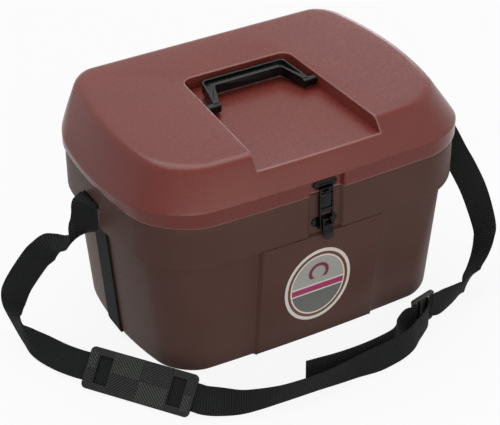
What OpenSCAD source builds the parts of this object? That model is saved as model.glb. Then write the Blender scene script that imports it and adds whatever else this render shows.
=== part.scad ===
// Horse grooming box: a moulded tub with a hanging collar, a hinged lid with a
// carrying handle sunk into its top, a riveted toggle latch and a webbing strap
// with a shoulder pad. Millimetres, +Z up, the front faces -Y.

/* [Box] */
// Length over the lid rim at the middle of the ends
box_length = 400; // [360:1:480]
// Depth over the lid rim at the middle of the front
box_depth = 291; // [250:1:340]
// Corner radius of the lid rim at the front, seen from above
corner_radius = 58.5; // [40:0.5:75]
// Corner radius of the lid rim at the back, seen from above
back_radius = 90; // [60:1:92]
// How far the ends bulge between the corners
end_bow = 20; // [6:0.5:26]
// How far the front bulges between the corners
front_bow = 5; // [0:0.5:9]

/* [Tub] */
// Height of the tub's rim above the ground
tub_height = 196; // [160:1:230]
// How far the foot of the wall lies inside the lid rim
base_inset = 21.5; // [16:0.5:28]
// How far the wall under the collar lies inside the lid rim
wall_inset = 10.5; // [9.5:0.5:12]
// Wall thickness of the tub
tub_wall = 2.8; // [2:0.1:3.5]
// Height of the collar that hangs from the rim
collar_height = 49; // [42:1:60]
// Wall thickness of the collar
collar_wall = 2.2; // [1.8:0.1:2.6]
// How far the collar lies inside the lid rim
collar_inset = 2.2; // [1.6:0.1:3]
// Width of the raised panel in the front and back walls
panel_width = 142; // [110:1:170]
// How far the panel stands out at its upper edge
panel_out = 7; // [3:0.5:7.5]
// Height of the four corner feet
foot_height = 4; // [3.5:0.1:5.5]
// Thickness of the floor between the feet
floor_wall = 3; // [2.4:0.1:4]
// Height of the tongue that locates the lid
tongue_height = 5.5; // [4:0.1:6]
// How far in front of the middle of the ends the strap slots lie
slot_shift = 4; // [0:1:10]

/* [Lid] */
// Height of the lid's upright skirt
skirt_height = 19; // [17:0.5:24]
// Height of the slope above the skirt
slope_height = 36; // [30:0.5:46]
// How far the slope runs inwards
slope_run = 24.5; // [18:0.5:30]
// Wall thickness of the lid
lid_wall = 3; // [2.4:0.1:3.4]
// Radius of the edge between slope and top
top_round = 14; // [6:0.5:18]
// Corner radius of the lid's top at the front, seen from above
top_front_radius = 46; // [30:1:50]
// Corner radius of the lid's top at the back, seen from above
top_back_radius = 22; // [16:1:40]
// How far the upper edge of the skirt sinks along the ends
end_sink = 11; // [0:0.5:12]
// Depth of the handle recess below the lid's top
recess_depth = 14.5; // [13.5:0.5:18]
// Width of the handle recess at the front
recess_front = 146; // [136:1:170]
// Width of the handle recess at the back
recess_back = 129; // [126:1:134]
// Room for the fingers between the grip and the recess's back wall
grip_room = 15.5; // [8:0.5:24]

/* [Handle] */
// Width of the grip, outside to outside
grip_width = 102; // [96:1:106]
// Depth of the grip bar
grip_bar = 13; // [11:0.5:16]
// Thickness of the handle
handle_thick = 11.5; // [9:0.5:12]
// Distance from the pivot to the back of the grip bar
handle_reach = 43; // [38:0.5:47]
// How far the handle stands up at rest
handle_tilt = 6; // [2:0.5:8]

/* [Latch] */
// Width of the pocket that the latch lies in
pocket_width = 37; // [34:1:44]
// Depth of the pocket below the lid's skirt
pocket_depth = 5.9; // [5:0.1:6.2]
// Length of the keeper plate
keeper_length = 28.4; // [26:0.2:31]
// Thickness of the latch's sheet steel
latch_sheet = 1.5; // [1.2:0.1:1.6]

/* [Hinges] */
// Length of a hinge
hinge_length = 40; // [34:1:46]
// Radius of the hinge knuckle
knuckle_radius = 3; // [2.8:0.1:3.4]

/* [Strap] */
// Width of the webbing
strap_width = 30; // [26:0.5:31]
// Thickness of the webbing
strap_thick = 1.6; // [1.2:0.1:1.8]
// Length of the shoulder pad
pad_length = 124; // [110:1:130]
// Width of the shoulder pad
pad_width = 42; // [38:0.5:44]
// Thickness of the shoulder pad
pad_thick = 4; // [3:0.2:4.4]

/* [Hidden] */
$fn = 48;

// shared values
half_share = 0.5;
third_share = 1 / 3;
half_len = box_length * half_share;
half_dep = box_depth * half_share;
over = 2;
hair = 0.01;
body_color = [0.33, 0.22, 0.20];
steel_color = [0.12, 0.12, 0.12];
black_color = [0.08, 0.08, 0.08];

// outline of the box
corner_steps = 10;
end_steps = 12;
step_run = 2.4;
panel_half = panel_width * half_share;
pocket_half = pocket_width * half_share;
pocket_y = -(half_dep - pocket_depth);

function mix(a, b, t) = a + (b - a) * t;
function bow(q, a, b) = [
    q[0] * (1 - end_bow / a * pow(q[1] / b, 2)),
    q[1] < 0 ? q[1] * (1 - front_bow / b * pow(q[0] / a, 2)) : q[1]];
function halves(reach, ph, pk) = [0, pk, pk + step_run,
    mix(pk + step_run, ph, third_share), mix(ph, pk + step_run, third_share),
    ph, ph + step_run,
    mix(ph + step_run, reach, third_share), mix(reach, ph + step_run, third_share), reach];
function both(h) = concat([for (i = [len(h) - 1:-1:1]) -h[i]], h);
function corner(a, b, r, sx, sy, from) = [for (i = [1:1:corner_steps - 1])
    let (t = from + 90 * i / corner_steps)
    bow([sx * (a - r) + r * cos(t), sy * (b - r) + r * sin(t)], a, b)];
function end_line(a, b, r, q, side) = [for (i = [0:1:end_steps])
    bow([side * a, side * mix(r - b, b - q, i / end_steps)], a, b)];
// how much of the sink a point of the ends takes
function end_share(y) = pow(max(0, 1 - pow(y / half_dep, 2)), 2);

// one ring round the box: d inside the lid rim, panel half width ph standing out
// by p, latch pocket of half width pk at the plane py (left out where py is undef),
// s the share of the way up the lid's slope, sink the drop at the middle of the ends
function ring(z, d, ph = panel_half, p = 0, pk = pocket_half, py = undef, s = 0, sink = 0) =
    let (a = half_len - d, b = half_dep - d, k = 1 - end_bow / a,
        r = mix(corner_radius, top_front_radius, s) + slope_run * s - d,
        q = mix(back_radius, top_back_radius, s) + slope_run * s - d,
        front = both(halves(a - r, ph / k, pk / k)), back = both(halves(a - q, ph / k, pk / k)))
    [for (c = concat(
        [for (x = front) let (w = bow([x, -b], a, b))
            [w[0], py != undef && abs(x) <= pk / k + hair ? py
                : w[1] - (abs(x) <= ph / k + hair ? p : 0)]],
        corner(a, b, r, 1, -1, -90),
        end_line(a, b, r, q, 1),
        corner(a, b, q, 1, 1, 0),
        [for (x = back) let (w = bow([-x, b], a, b))
            [w[0], w[1] + (abs(x) <= ph / k + hair ? p : 0)]],
        corner(a, b, q, -1, 1, 90),
        end_line(a, b, q, r, -1),
        corner(a, b, r, -1, -1, 180))) [c[0], c[1], z - sink * end_share(c[1])]];

// closed skin through a list of rings, each end capped about its middle
module skin(rings) {
    n = len(rings[0]);
    m = len(rings);
    points = concat([for (g = rings) each g],
        [[0, 0, rings[0][0][2]], [0, 0, rings[m - 1][0][2]]]);
    polyhedron(points, concat(
        [for (i = [0:1:m - 2]) for (j = [0:1:n - 1]) let (u = (j + 1) % n)
            each [[i * n + j, (i + 1) * n + j, (i + 1) * n + u],
                [i * n + j, (i + 1) * n + u, i * n + u]]],
        [for (j = [0:1:n - 1]) [m * n, j, (j + 1) % n]],
        [for (j = [0:1:n - 1]) let (k = (m - 1) * n) [m * n + 1, k + (j + 1) % n, k + j]]),
        convexity = 10);
}

// tub
base_round = 6;
base_round_share = 0.3;
foot_round = base_round * base_round_share;
panel_low = 4;
panel_gap = 1.2;
panel_cap = 1;
rim_drop = 3;
rim_round = 2;
tongue_wall = 2.5;
collar_low = tub_height - collar_height;
panel_high = collar_low - panel_gap - panel_cap;
rim_low = tub_height - rim_drop;
inner_half = panel_half - tub_wall;
floor_top = foot_height + floor_wall;
floor_round = 5;
skirt_in = collar_inset + collar_wall;
pocket_back = pocket_y + collar_wall;
pocket_out = pocket_half + collar_wall;
slot_drop = 20;
slot_tall = 7;
slot_play = 3;
slot_high = tub_height - slot_drop;
slot_low = slot_high - slot_tall;
slot_half = strap_width * half_share + slot_play;
slot_y = -slot_shift;
channel_width = slot_half + slot_half;
rivet_radius = 1.5;
rivet_bore = 1.6;
foot_line = base_inset + base_round;

function lean(z) = mix(base_inset, wall_inset, z / panel_high);

module tub_skin() skin([
    ring(0, foot_line, panel_half, panel_low),
    ring(foot_round, base_inset + foot_round, panel_half, panel_low),
    ring(base_round, lean(base_round), panel_half, panel_low),
    ring(panel_high, wall_inset, panel_half, panel_out),
    ring(panel_high + panel_cap, wall_inset),
    ring(rim_low, wall_inset),
    ring(rim_low, skirt_in, panel_half, 0, pocket_out, pocket_back),
    ring(collar_low, skirt_in, panel_half, 0, pocket_out, pocket_back),
    ring(collar_low, collar_inset, panel_half, 0, pocket_half, pocket_y),
    ring(rim_low, collar_inset, panel_half, 0, pocket_half, pocket_y),
    ring(tub_height, collar_inset + rim_round, panel_half, 0, pocket_half, pocket_y),
    ring(tub_height, wall_inset),
    ring(tub_height + tongue_height, wall_inset),
    ring(tub_height + tongue_height, wall_inset + tongue_wall),
    ring(tub_height, wall_inset + tub_wall),
    ring(panel_high + panel_cap + tub_wall, wall_inset + tub_wall),
    ring(panel_high - tub_wall, wall_inset + tub_wall, inner_half, panel_out),
    ring(floor_top + floor_round, lean(floor_top + floor_round) + tub_wall,
        inner_half, panel_low),
    ring(floor_top, lean(floor_top) + tub_wall + floor_round, inner_half, panel_low)]);

// holes through the front or back walls, along Y
module y_hole(x, y, z, r, l) translate([x, y, z]) rotate([90, 0, 0])
    cylinder(h = l, r = r, center = true);

module tub() color(body_color) difference() {
    tub_skin();
    translate([-half_len, slot_y - channel_width * half_share, -over])
        cube([box_length, channel_width, foot_height + over]);
    translate([-panel_half, -half_dep, -over])
        cube([panel_width, box_depth, foot_height + over]);
    for (s = [-1, 1]) translate([s * (half_len - skirt_in * half_share), slot_y,
        mix(slot_low, slot_high, half_share)])
        cube([skirt_in + over, slot_half + slot_half, slot_high - slot_low], center = true);
    for (s = [-1, 1]) {
        y_hole(s * base_rivet_x, pocket_y + collar_wall * half_share, base_z, rivet_bore,
            collar_wall + over);
        for (h = [-1, 1]) y_hole(s * hinge_at + h * leaf_rivet_x,
            half_dep - collar_inset - collar_wall * half_share, lower_rivet_z, rivet_bore,
            collar_wall + over);
    }
}

// lid
seat_gap = 0.3;
lid_low = tub_height + seat_gap;
skirt_top = lid_low + skirt_height;
lid_top = skirt_top + slope_height;
edge_round = 1.6;
pocket_lintel = 2;
pocket_top = skirt_top - pocket_lintel;
pocket_roof = 1;
core_in = 0.4;
pan_wall = lid_wall;
recess_floor = lid_top - recess_depth;
recess_corner = 11;
slope_angle = atan2(slope_height, slope_run);
edge_reach = top_round * tan(slope_angle * half_share);
edge_shares = [1, 0.7, 0.35, 0];

// ring on the rounded edge of the top: u is the turn away from flat, w the depth under the skin
function edge_ring(u, w) = ring(lid_top - top_round + (top_round - w) * cos(u),
    slope_run + edge_reach - (top_round - w) * sin(u), s = 1);

module lid_shell() skin(concat(
    [for (t = [0, half_share, 1]) edge_ring(slope_angle * t, lid_wall)],
    [ring(skirt_top + lid_wall, pocket_depth + lid_wall * half_share,
            s = lid_wall / slope_height, sink = end_sink),
        ring(pocket_top, lid_wall, panel_half, 0, pocket_half + lid_wall, pocket_y + lid_wall,
            sink = end_sink),
        ring(lid_low, lid_wall, panel_half, 0, pocket_half + lid_wall, pocket_y + lid_wall),
        ring(lid_low, 0, panel_half, 0, pocket_half, pocket_y),
        ring(pocket_top, 0, panel_half, 0, pocket_half, pocket_y, sink = end_sink),
        ring(pocket_top + pocket_roof, 0, sink = end_sink),
        ring(skirt_top, 0, sink = end_sink),
        ring(skirt_top + edge_round, edge_round * half_share, sink = end_sink)],
    [for (t = edge_shares) edge_ring(slope_angle * t, 0)]));

module lid_core() skin(concat([ring(skirt_top, core_in + core_in)],
    [for (t = edge_shares) edge_ring(slope_angle * t, core_in)]));

function round_corner(c, r, from) = [for (i = [0:1:corner_steps])
    [c[0] + r * cos(from + 90 * i / corner_steps), c[1] + r * sin(from + 90 * i / corner_steps)]];
// trapezoid with a rounded back, open to the front; g makes it wider all round
module recess_plan(g) polygon(concat(
    [[-(recess_front * half_share + g), -half_dep], [recess_front * half_share + g, -half_dep]],
    round_corner([recess_back * half_share + g - recess_corner, recess_reach + g - recess_corner],
        recess_corner, 0),
    round_corner([-(recess_back * half_share + g - recess_corner), recess_reach + g - recess_corner],
        recess_corner, 90)));

pivot_y = -12.5;
recess_reach = pivot_y + handle_reach + grip_room;
pivot_rise = 7;
pivot_z = recess_floor + pivot_rise;
pin_radius = 3;
pin_play = 0.3;
// half width of the recess at the handle pivot
pivot_wall = mix(recess_back, recess_front,
    (recess_reach - recess_corner - pivot_y) / (recess_reach - recess_corner + half_dep)) * half_share;

module x_hole(x, y, z, r, l) translate([x, y, z]) rotate([0, 90, 0])
    cylinder(h = l, r = r, center = true);

module lid() color(body_color) difference() {
    union() {
        lid_shell();
        intersection() {
            lid_core();
            translate([0, 0, recess_floor - pan_wall]) linear_extrude(recess_depth + pan_wall + over)
                recess_plan(pan_wall);
        }
    }
    translate([0, 0, recess_floor]) linear_extrude(recess_depth + over) recess_plan(0);
    for (s = [-1, 1]) {
        x_hole(s * pivot_wall, pivot_y, pivot_z, pin_radius + pin_play, pan_wall + pan_wall + over);
        y_hole(s * keeper_rivet_x, pocket_y + lid_wall * half_share, keeper_z, rivet_bore,
            lid_wall + over);
        for (h = [-1, 1]) y_hole(s * hinge_at + h * leaf_rivet_x, half_dep - lid_wall * half_share,
            upper_rivet_z, rivet_bore, lid_wall + over);
    }
}

// handle
block_deep = 6.4;
block_high = 10;
block_round = 1.5;
block_in = 50;
wall_play = 1.2;
pin_end = pivot_wall + pan_wall - pin_play;
arm_out = 57;
arm_in = 50.5;
arm_start = 1;
grip_corner = 7;
grip_inner = 10.5;
inner_round = 5;
rim_width = 1.8;
web_thick = 3.5;
channel_start = 6;
grip_half = grip_width * half_share;
grip_low = handle_reach - grip_bar;
gap_half = grip_half - grip_inner;
// the arm's inner edge leans outwards; a round corner leads from the bar into it
arm_way = unit([arm_in - gap_half, arm_start - grip_low]);
arm_turn = atan2(arm_way[0], -arm_way[1]);
bend_at = [gap_half - inner_round * (1 - sin(arm_turn)) / cos(arm_turn), grip_low - inner_round];
channel_tip = [mix(arm_in, arm_out, half_share), channel_start];

// plan of the handle, drawn in by g, with the given points at the foot of an arm
module grip_plan(g, foot) {
    right = concat([for (i = [0:1:corner_steps]) let (a = mix(90, arm_turn, i / corner_steps))
            bend_at + [cos(a), sin(a)] * (inner_round + g)], foot,
        round_corner([grip_half - grip_corner, handle_reach - grip_corner], grip_corner - g, 0));
    polygon(concat(right, [for (i = [len(right) - 1:-1:0]) [-right[i][0], right[i][1]]]));
}

// block with rounded edges at the foot of each arm
block_out = pivot_wall - wall_play;
block_long = block_out - block_in;
block_flat_y = block_deep - block_round - block_round;
block_flat_z = block_high - block_round - block_round;
module trunnion(s) translate([s * mix(block_in, block_out, half_share), 0, 0]) {
    for (v = [-1, 1]) for (w = [-1, 1]) x_hole(0, v * block_flat_y * half_share,
        w * block_flat_z * half_share, block_round, block_long);
    cube([block_long, block_deep, block_flat_z], center = true);
    cube([block_long, block_flat_y, block_high], center = true);
}

module handle() color(black_color) translate([0, pivot_y, pivot_z]) rotate([handle_tilt, 0, 0]) {
    difference() {
        translate([0, 0, -handle_thick * half_share]) linear_extrude(handle_thick)
            grip_plan(0, [[arm_in, arm_start], [arm_out, arm_start]]);
        translate([0, 0, web_thick * half_share]) linear_extrude(handle_thick)
            grip_plan(rim_width, [channel_tip]);
        translate([0, 0, -handle_thick - web_thick * half_share]) linear_extrude(handle_thick)
            grip_plan(rim_width, [channel_tip]);
    }
    for (s = [-1, 1]) {
        trunnion(s);
        x_hole(s * mix(arm_out, pin_end, half_share), 0, 0, pin_radius, pin_end - arm_out);
    }
}

// toggle latch: u runs outwards from the pocket, z upwards
base_drop = 35;
base_z = tub_height - base_drop;
base_rivet_x = 11.6;
base_length = 30;
base_height = 11;
keeper_rise = 9.5;
keeper_z = tub_height + keeper_rise;
keeper_height = 9.5;
keeper_rivet_x = 9.8;
head_radius = 2.5;
head_height = 1;
tail_height = 0.8;
turn_u = 5.5;
turn_rise = 3;
turn_z = base_z + turn_rise;
join_u = 4.5;
throw = 7.8;
join_z = turn_z - throw;
ear_x = 3.8;
ear_wall = 1.2;
ear_round = 3.2;
cheek_x = 5.3;
cheek_round = 3;
leg_x = 7.4;
leg_wall = 1.6;
leg_round = 2.3;
leg_in = 2.2;
leg_out = 5.2;
latch_pin = 1.2;
latch_play = 0.3;
tight_play = 0.05;
bar_rise = 3.5;
bar_tall = 2.3;
bar_low = tub_height + bar_rise;
bar_high = bar_low + bar_tall;
bar_out = 4.2;
cross_drop = 22.5;
cross_tall = 4.5;
cross_low = tub_height - cross_drop;
cross_high = cross_low + cross_tall;
cross_in = 3.9;
lug_rise = 1.2;
lip_tall = 0.4;
lug_low = tub_height + lug_rise;
shelf_high = lug_low + latch_sheet;
lip_high = shelf_high + lip_tall;
lug_out = 6.2;
lip_in = 5;
lug_width = 6;
web_in = 7.3;
web_out = 8.6;
web_drop = 4.6;
bend_drop = 13;
bend_skew = 0.6;
tip_drop = 21;
web_top = turn_z - web_drop;
web_low = turn_z - bend_drop;
bend_low = web_low - bend_skew;
tip_in = 11;
tip_out = 12.3;
tip_low = turn_z - tip_drop;
tip_high = tip_low + bend_skew;
pin_half = 6.2;
stub_in = 4.6;
stub_out = 8.5;
stub_head = 1.9;
stub_head_long = 0.8;

// a sheet standing square to X, drawn in u and z, wall thick about x
module sheet_at(x, wall, outline) translate([x, pocket_y, 0]) rotate([90, 0, -90])
    linear_extrude(wall, center = true) polygon(outline);
// a disc or bore along X at (u, z)
module disc_at(x, u, z, r, l) x_hole(x, pocket_y - u, z, r, l);
// plate with round ends lying on the pocket, centred at height z
module pill(long, high, z, bore_x) difference() {
    union() {
        translate([0, pocket_y - latch_sheet * half_share, z])
            cube([long - high, latch_sheet, high], center = true);
        for (s = [-1, 1]) y_hole(s * (long - high) * half_share,
            pocket_y - latch_sheet * half_share, z, high * half_share, latch_sheet);
    }
    for (s = [-1, 1]) y_hole(s * bore_x, pocket_y - latch_sheet * half_share, z, rivet_bore,
        latch_sheet + over);
}
// rivet along Y: head outside at y0, shank inwards, closed head behind; way is the inward sense
module rivet(x, y0, z, grip, way) {
    translate([x, y0, z]) rotate([way * -90, 0, 0]) {
        translate([0, 0, -head_height]) cylinder(h = head_height, r1 = rivet_radius, r2 = head_radius);
        cylinder(h = grip, r = rivet_radius);
        translate([0, 0, grip]) cylinder(h = tail_height, r = head_radius);
    }
}

module latch_base() color(steel_color) {
    pill(base_length, base_height, base_z, base_rivet_x);
    for (s = [-1, 1]) difference() {
        union() {
            sheet_at(s * ear_x, ear_wall, [[latch_sheet * half_share, turn_z - ear_round],
                [turn_u, turn_z - ear_round], [turn_u, turn_z + ear_round],
                [latch_sheet * half_share, turn_z + ear_round]]);
            disc_at(s * ear_x, turn_u, turn_z, ear_round, ear_wall);
        }
        disc_at(s * ear_x, turn_u, turn_z, latch_pin + tight_play, ear_wall + over);
    }
}
module latch_base_rivets() color(steel_color) for (s = [-1, 1])
    rivet(s * base_rivet_x, pocket_y - latch_sheet, base_z, latch_sheet + collar_wall, 1);
module latch_keeper() color(steel_color) {
    pill(keeper_length, keeper_height, keeper_z, keeper_rivet_x);
    sheet_at(0, lug_width, [[0, keeper_z], [0, lug_low], [lug_out, lug_low], [lug_out, lip_high],
        [lip_in, lip_high], [lip_in, shelf_high], [latch_sheet, shelf_high], [latch_sheet, keeper_z]]);
}
module keeper_rivets() color(steel_color) for (s = [-1, 1])
    rivet(s * keeper_rivet_x, pocket_y - latch_sheet, keeper_z, latch_sheet + lid_wall, 1);
module lever_pin() color(steel_color)
    disc_at(0, turn_u, turn_z, latch_pin, pin_half + pin_half);
module latch_lever() color(steel_color) {
    for (s = [-1, 1]) difference() {
        union() {
            disc_at(s * cheek_x, turn_u, turn_z, cheek_round, ear_wall);
            disc_at(s * cheek_x, join_u, join_z, leg_round, ear_wall);
            sheet_at(s * cheek_x, ear_wall, [[turn_u - cheek_round, turn_z],
                [join_u - leg_round, join_z], [join_u, join_z - leg_round], [web_out, web_low],
                [web_out, web_top], [turn_u + cheek_round, turn_z]]);
        }
        disc_at(s * cheek_x, turn_u, turn_z, latch_pin + latch_play, ear_wall + over);
        disc_at(s * cheek_x, join_u, join_z, latch_pin + tight_play, ear_wall + over);
    }
    sheet_at(0, cheek_x + cheek_x + ear_wall, [[web_in, web_top], [web_in, bend_low],
        [tip_in, tip_low], [tip_out, tip_high], [web_out, web_low], [web_out, web_top]]);
}
module bail_pins() color(steel_color) for (s = [-1, 1]) {
    disc_at(s * mix(stub_in, stub_out, half_share), join_u, join_z, latch_pin, stub_out - stub_in);
    disc_at(s * (stub_out + stub_head_long * half_share), join_u, join_z, stub_head, stub_head_long);
}
module latch_bail() color(steel_color) {
    for (s = [-1, 1]) difference() {
        union() {
            disc_at(s * leg_x, join_u, join_z, leg_round, leg_wall);
            sheet_at(s * leg_x, leg_wall, [[leg_in, join_z], [leg_in + leg_round + leg_round, join_z],
                [leg_out, cross_low], [leg_out, cross_high], [bar_out, bar_high], [leg_in, bar_high]]);
        }
        disc_at(s * leg_x, join_u, join_z, latch_pin + latch_play, leg_wall + over);
    }
    sheet_at(0, leg_x + leg_x + leg_wall, [[cross_in, cross_low], [leg_out, cross_low],
        [leg_out, cross_high], [cross_in, cross_high]]);
    sheet_at(0, leg_x + leg_x + leg_wall, [[leg_in, bar_low], [bar_out, bar_low],
        [bar_out, bar_high], [leg_in, bar_high]]);
}

// hinges on the flat stretch of the back
back_flat = (half_len - back_radius) * (1 - end_bow / half_len);
hinge_margin = 1.5;
hinge_at = back_flat - hinge_length * half_share - hinge_margin;
leaf_sheet = 1.5;
leaf_rivet_x = 12;
knuckle_play = 0.4;
hinge_y = half_dep + knuckle_radius + knuckle_play;
hinge_z = tub_height + seat_gap * half_share;
hinge_pin_radius = 1.5;
knuckle_gap = 0.3;
knuckle_long = hinge_length * third_share;
upper_rivet_rise = 10;
lower_rivet_drop = 12;
upper_leaf_rise = 15.5;
lower_leaf_drop = 18;
upper_rivet_z = tub_height + upper_rivet_rise;
lower_rivet_z = tub_height - lower_rivet_drop;
upper_leaf_low = hinge_z + knuckle_radius + knuckle_play;
upper_leaf_high = tub_height + upper_leaf_rise;
lower_leaf_low = tub_height - lower_leaf_drop;
lower_leaf_high = hinge_z - knuckle_radius - knuckle_play;
tab_high = 2.4;
pin_head = 2.3;
pin_head_long = 1;

module lower_leaf(x) color(steel_color) difference() {
    union() {
        translate([x - hinge_length * half_share, half_dep - collar_inset, lower_leaf_low])
            cube([hinge_length, leaf_sheet, lower_leaf_high - lower_leaf_low]);
        for (s = [-1, 1]) {
            x_hole(x + s * knuckle_long, hinge_y, hinge_z, knuckle_radius, knuckle_long - knuckle_gap);
            translate([x + s * knuckle_long - (knuckle_long - knuckle_gap) * half_share,
                half_dep - collar_inset, lower_leaf_high - tab_high])
                cube([knuckle_long - knuckle_gap, hinge_y - half_dep + collar_inset,
                    tab_high + tab_high * half_share]);
        }
    }
    x_hole(x, hinge_y, hinge_z, hinge_pin_radius + tight_play, hinge_length + over);
    for (s = [-1, 1]) y_hole(x + s * leaf_rivet_x, half_dep - collar_inset + leaf_sheet * half_share,
        lower_rivet_z, rivet_bore, leaf_sheet + over);
}
module upper_leaf(x) color(steel_color) difference() {
    union() {
        translate([x - hinge_length * half_share, half_dep, upper_leaf_low])
            cube([hinge_length, leaf_sheet, upper_leaf_high - upper_leaf_low]);
        translate([x - (knuckle_long - knuckle_gap) * half_share, half_dep, hinge_z + knuckle_play])
            cube([knuckle_long - knuckle_gap, leaf_sheet, knuckle_radius + knuckle_play]);
        x_hole(x, hinge_y, hinge_z, knuckle_radius, knuckle_long - knuckle_gap);
    }
    x_hole(x, hinge_y, hinge_z, hinge_pin_radius + pin_play, hinge_length);
    for (s = [-1, 1]) y_hole(x + s * leaf_rivet_x, half_dep + leaf_sheet * half_share,
        upper_rivet_z, rivet_bore, leaf_sheet + over);
}
module hinge_pin(x) color(steel_color) {
    x_hole(x, hinge_y, hinge_z, hinge_pin_radius, hinge_length);
    for (s = [-1, 1]) x_hole(x + s * (hinge_length + pin_head_long) * half_share, hinge_y, hinge_z,
        pin_head, pin_head_long);
}
module hinge_lower_leaf_left() lower_leaf(-hinge_at);
module hinge_lower_leaf_right() lower_leaf(hinge_at);
module hinge_upper_leaf_left() upper_leaf(-hinge_at);
module hinge_upper_leaf_right() upper_leaf(hinge_at);
module hinge_pin_left() hinge_pin(-hinge_at);
module hinge_pin_right() hinge_pin(hinge_at);
module hinge_tub_rivets() color(steel_color) for (s = [-1, 1]) for (h = [-1, 1])
    rivet(s * hinge_at + h * leaf_rivet_x, half_dep - collar_inset + leaf_sheet, lower_rivet_z,
        leaf_sheet + collar_wall, -1);
module hinge_lid_rivets() color(steel_color) for (s = [-1, 1]) for (h = [-1, 1])
    rivet(s * hinge_at + h * leaf_rivet_x, half_dep + leaf_sheet, upper_rivet_z,
        leaf_sheet + lid_wall, -1);

// webbing: each stop is a middle point and the way across the webbing
band_steps = 2;
rest_len = 200;
rest_dep = 145.5;
rest_low = 40;
rest_slot = 176;
len_share = half_len / rest_len;
dep_share = half_dep / rest_dep;
// a stop chosen for the usual box, moved with the box's own size
function placed(c) = [c[0] * len_share, c[1] * dep_share,
    c[2] <= rest_low ? c[2] : mix(rest_low, slot_high, (c[2] - rest_low) / (rest_slot - rest_low))];
function curve(a, b, c, d, t) = b + (c - a) * (t * half_share)
    + (a * 2 - b * 5 + c * 4 - d) * (t * t * half_share)
    + (b * 3 - a - c * 3 + d) * (t * t * t * half_share);
function run(v) = [for (i = [0:1:len(v) - 2]) for (s = [0:1:band_steps - 1])
    curve(v[max(i - 1, 0)], v[i], v[i + 1], v[min(i + 2, len(v) - 1)], s / band_steps)];
function line(v) = concat(run(v), [v[len(v) - 1]]);
function unit(v) = v / norm(v);

module band(mids, ways) {
    c = line(mids);
    w = line(ways);
    m = len(c);
    along = [for (i = [0:1:m - 1]) unit(c[min(i + 1, m - 1)] - c[max(i - 1, 0)])];
    side = [for (i = [0:1:m - 1]) unit(w[i] - along[i] * (w[i] * along[i])) * strap_width * half_share];
    face = [for (i = [0:1:m - 1]) unit(cross(along[i], side[i])) * strap_thick * half_share];
    polyhedron([for (i = [0:1:m - 1]) each [c[i] - side[i] - face[i], c[i] + side[i] - face[i],
        c[i] + side[i] + face[i], c[i] - side[i] + face[i]]],
        concat([[0, 1, 2], [0, 2, 3]],
            [for (i = [0:1:m - 2]) for (j = [0:1:3]) let (k = i * 4, u = (j + 1) % 4)
                each [[k + j, k + 4 + j, k + 4 + u], [k + j, k + 4 + u, k + u]]],
            [[m * 4 - 4, m * 4 - 2, m * 4 - 3], [m * 4 - 4, m * 4 - 1, m * 4 - 2]]), convexity = 10);
}

left_start = [[-193, -4, 166.2], [-196.5, -4, 171.5], [-201, -5, 175], [-206, -7, 174],
    [-208, -8, 168], [-208.5, -8, 157], [-210, -7, 146], [-215.5, -3, 134.5], [-224, 4, 126],
    [-233, 9, 123.5], [-242, 12, 122], [-249, 16, 113.5], [-255, 20, 104], [-267, 24, 86],
    [-274, 34, 64], [-278, 39, 46], [-280, 36, 33], [-280, 30, 24], [-278, 18, 16], [-274, 0, 15],
    [-267, -19, 15], [-258, -39, 15]];
left_start_ways = [[0, 1, 0], [0, 1, 0], [-0.1, 1, 0], [-0.4, 0.9, 0],
    [-0.6, 0.8, 0.1], [-0.65, 0.75, 0], [-0.8, 0.55, -0.15], [-0.9, -0.2, 0.3], [-0.5, -0.78, 0.38],
    [0.03, -0.97, 0.2], [0.55, -0.75, -0.33], [0.63, -0.68, -0.38], [0.64, -0.66, -0.39],
    [0.7, -0.6, -0.38], [0.75, -0.6, -0.25], [0.6, -0.78, -0.05], [0.3, -0.95, 0.15],
    [0.05, -0.9, 0.45], [0, -0.6, 0.8], [0.35, -0.3, 0.9], [0.55, 0.1, 0.8], [0.6, 0.3, 0.75]];
left_front = [[-146, -190, 16], [-131, -199, 16], [-114, -204, 16],
    [-92, -208, 16], [-69, -210, 16], [-45, -211, 16], [-21, -211, 16], [3, -210, 16],
    [27, -210, 16], [46, -208, 16], [62, -205, 16], [78, -199, 16], [92, -190, 16], [104, -183, 17],
    [113, -175, 18.5]];
left_front_ways = [[0.2, 0.3, 0.9], [0, 0.1, 1], [-0.1, -0.05, 1],
    [-0.15, -0.2, 0.95], [-0.2, -0.25, 0.95], [-0.2, -0.25, 0.95], [-0.2, -0.15, 0.95], [-0.1, 0, 1],
    [-0.05, 0.2, 1], [-0.1, 0.2, 1], [-0.15, 0.15, 1], [-0.1, 0.1, 1], [-0.1, 0, 1], [0, 0, 1],
    [0, 0, 1]];
right_mids = [[193, -4, 166.2], [196.5, -4, 171.5], [201, -5, 175], [207, -10, 176.5], [214, -23, 169],
    [218.5, -42, 149], [222.5, -60, 128], [226.5, -74, 112.5], [229.5, -93, 91], [228, -116, 62],
    [222, -125, 50], [213, -132, 38], [202, -138, 28], [191, -143, 20.5], [180, -148, 17],
    [164, -153, 17]];
right_ways = [[0, -1, 0], [0, -1, 0], [0.05, -1, 0], [0.3, -0.95, 0.1], [0.5, -0.7, 0.5],
    [0.55, -0.35, 0.75], [0.62, -0.1, 0.78], [0.68, -0.15, 0.72], [0.68, -0.35, 0.65], [0.5, -0.65, 0.55],
    [0.35, -0.75, 0.55], [0.2, -0.8, 0.55], [0, -0.85, 0.55], [-0.2, -0.7, 0.7], [-0.5, -0.35, 0.8],
    [-0.5, -0.3, 0.8]];
tail_stops = [[84, -176, 17], [72, -184, 16], [58, -190, 16], [40, -194, 16], [18, -196, 16],
    [0, -196, 16], [-18, -195, 16], [-34, -193, 16], [-50, -191, 16]];

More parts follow.
